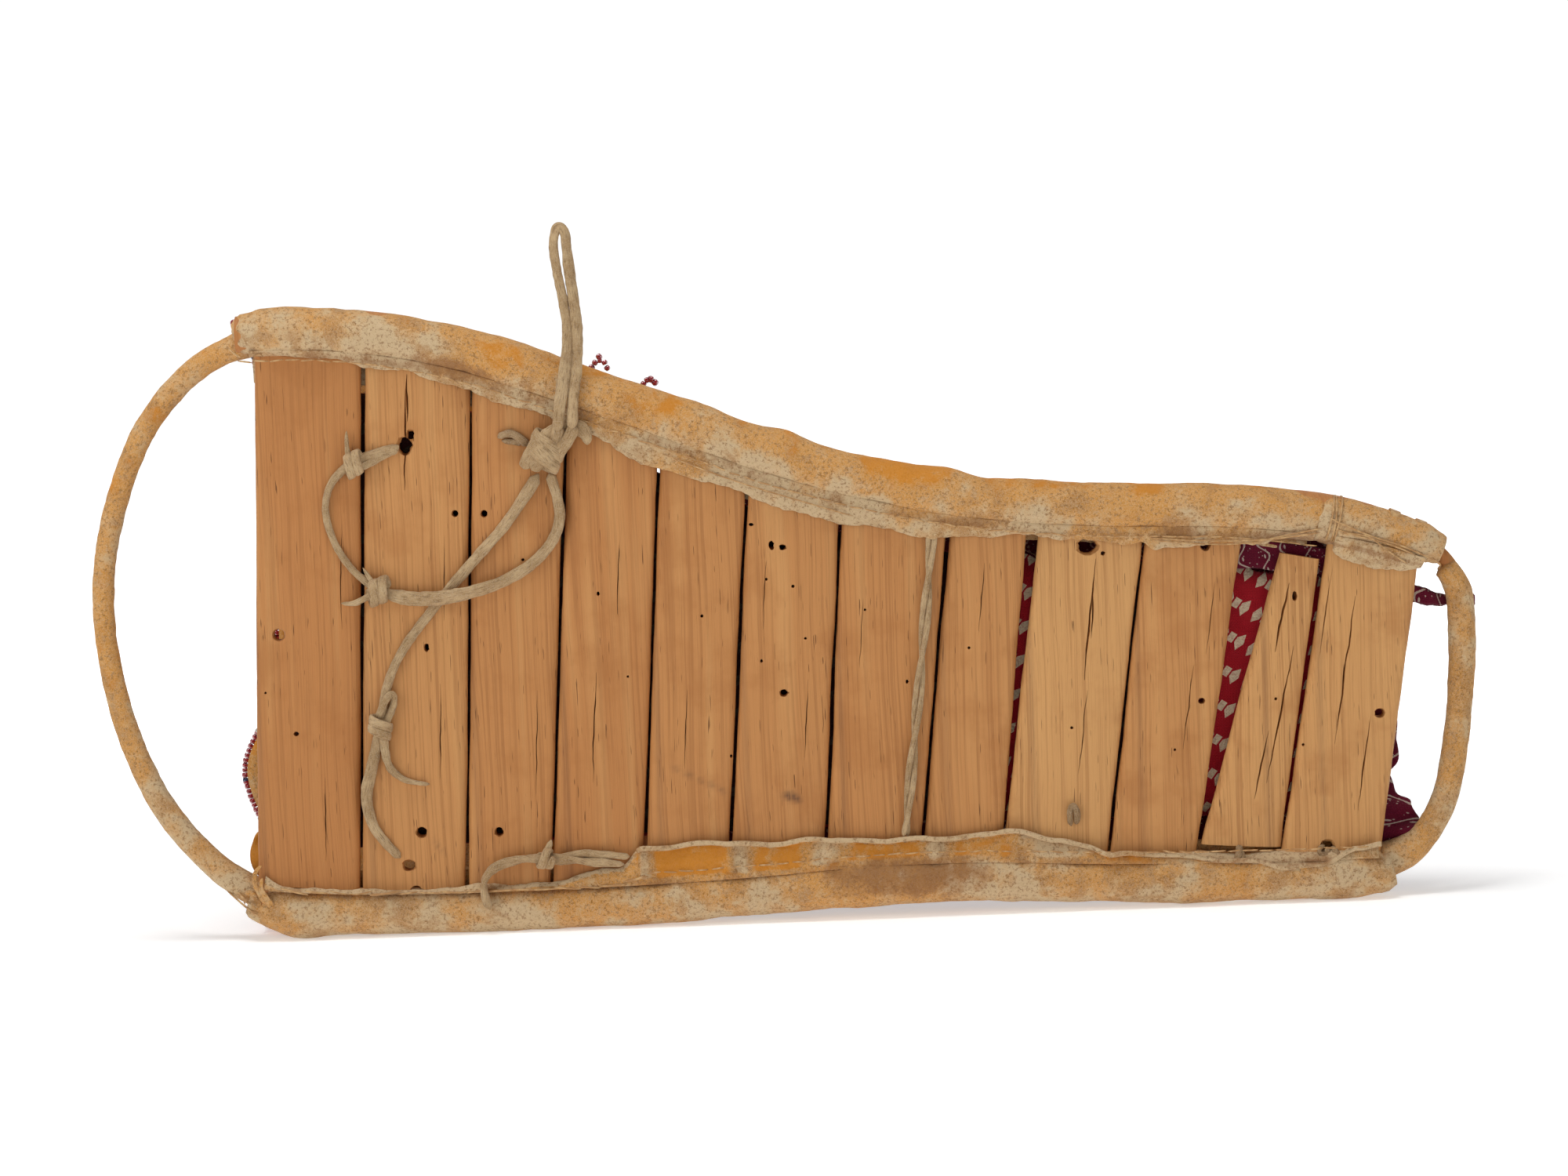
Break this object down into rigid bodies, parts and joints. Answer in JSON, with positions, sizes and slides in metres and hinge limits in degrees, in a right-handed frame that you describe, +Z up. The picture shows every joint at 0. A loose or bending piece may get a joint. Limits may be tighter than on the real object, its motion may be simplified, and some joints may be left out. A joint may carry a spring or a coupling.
{
  "type": "cradleboard",
  "caption": "Hide-covered toy cradleboard lying on its side rail: slatted back, bent end rods, side poles in hide tubes, calico bag, arched hide hood, thongs and a swinging hang loop.",
  "frame": {"origin": "under the middle of the object's box, on the surface that the lower side rail and the hood's side rest on", "axes": "+X from the head to the foot along the rails, +Y from the slatted back to the bag and hood, +Z up across the board's width"},
  "size_m": [0.5286, 0.1039, 0.2667],
  "materials": {
    "pole_wood": "satin",
    "rod_wood": "satin",
    "slat_wood": "satin",
    "pale_wood": "satin",
    "ochre_hide": "matte",
    "sinew": "satin",
    "thong_hide": "matte",
    "red_calico": "matte",
    "maroon_calico": "matte",
    "beads": "gloss"
  },
  "bodies": {
    "frame": {"upper_pole": "pole_wood", "lower_pole": "pole_wood", "head_bow": "rod_wood", "foot_bow": "rod_wood", "slat_01": "slat_wood", "slat_02": "slat_wood", "slat_03": "slat_wood", "slat_04": "slat_wood", "slat_05": "slat_wood", "slat_06": "slat_wood", "slat_07": "slat_wood", "slat_08": "slat_wood", "slat_09": "pale_wood", "slat_10": "slat_wood", "slat_12": "pale_wood", "upper_rail_cover": "ochre_hide", "upper_foot_cover": "ochre_hide", "lower_rail_cover": "ochre_hide", "head_bow_sleeve": "ochre_hide", "foot_bow_sleeve": "ochre_hide", "head_tie": "ochre_hide", "bow_lashings": "sinew", "upper_seam_sinew": "sinew", "lower_seam_sinew": "sinew", "corner_tie": "sinew", "slat_pin": "thong_hide", "slat_ties": "thong_hide", "hang_knot": "thong_hide", "long_thong": "thong_hide", "slack_thong": "thong_hide", "lower_thong": "thong_hide", "thong_knots": "thong_hide", "cross_cord_left": "thong_hide", "cross_cord_right": "thong_hide", "bed_pad": "red_calico", "lower_flap": "maroon_calico", "upper_flap": "maroon_calico", "foot_pouch": "maroon_calico", "flap_lacing": "thong_hide", "foot_tie": "maroon_calico", "hood_rear_bow": "rod_wood", "hood_front_bow": "rod_wood", "hood_cover": "ochre_hide", "bead_edging": "beads"},
    "loose_slat": {"slat_11": "pale_wood"},
    "hang_loop": {"hang_loop": "thong_hide"}
  },
  "joints": [
    {"name": "loose_slat_swing", "type": "hinge", "parent": "frame", "child": "loose_slat", "pos_m": [0.17, -0.03997, 0.0255], "axis": [0, -1, 0], "range_deg": [0, 6]},
    {"name": "hang_loop_swing", "type": "hinge", "parent": "frame", "child": "hang_loop", "pos_m": [-0.079, -0.05192, 0.191], "axis": [1, 0, 0], "range_deg": [0, 170]}
  ]
}
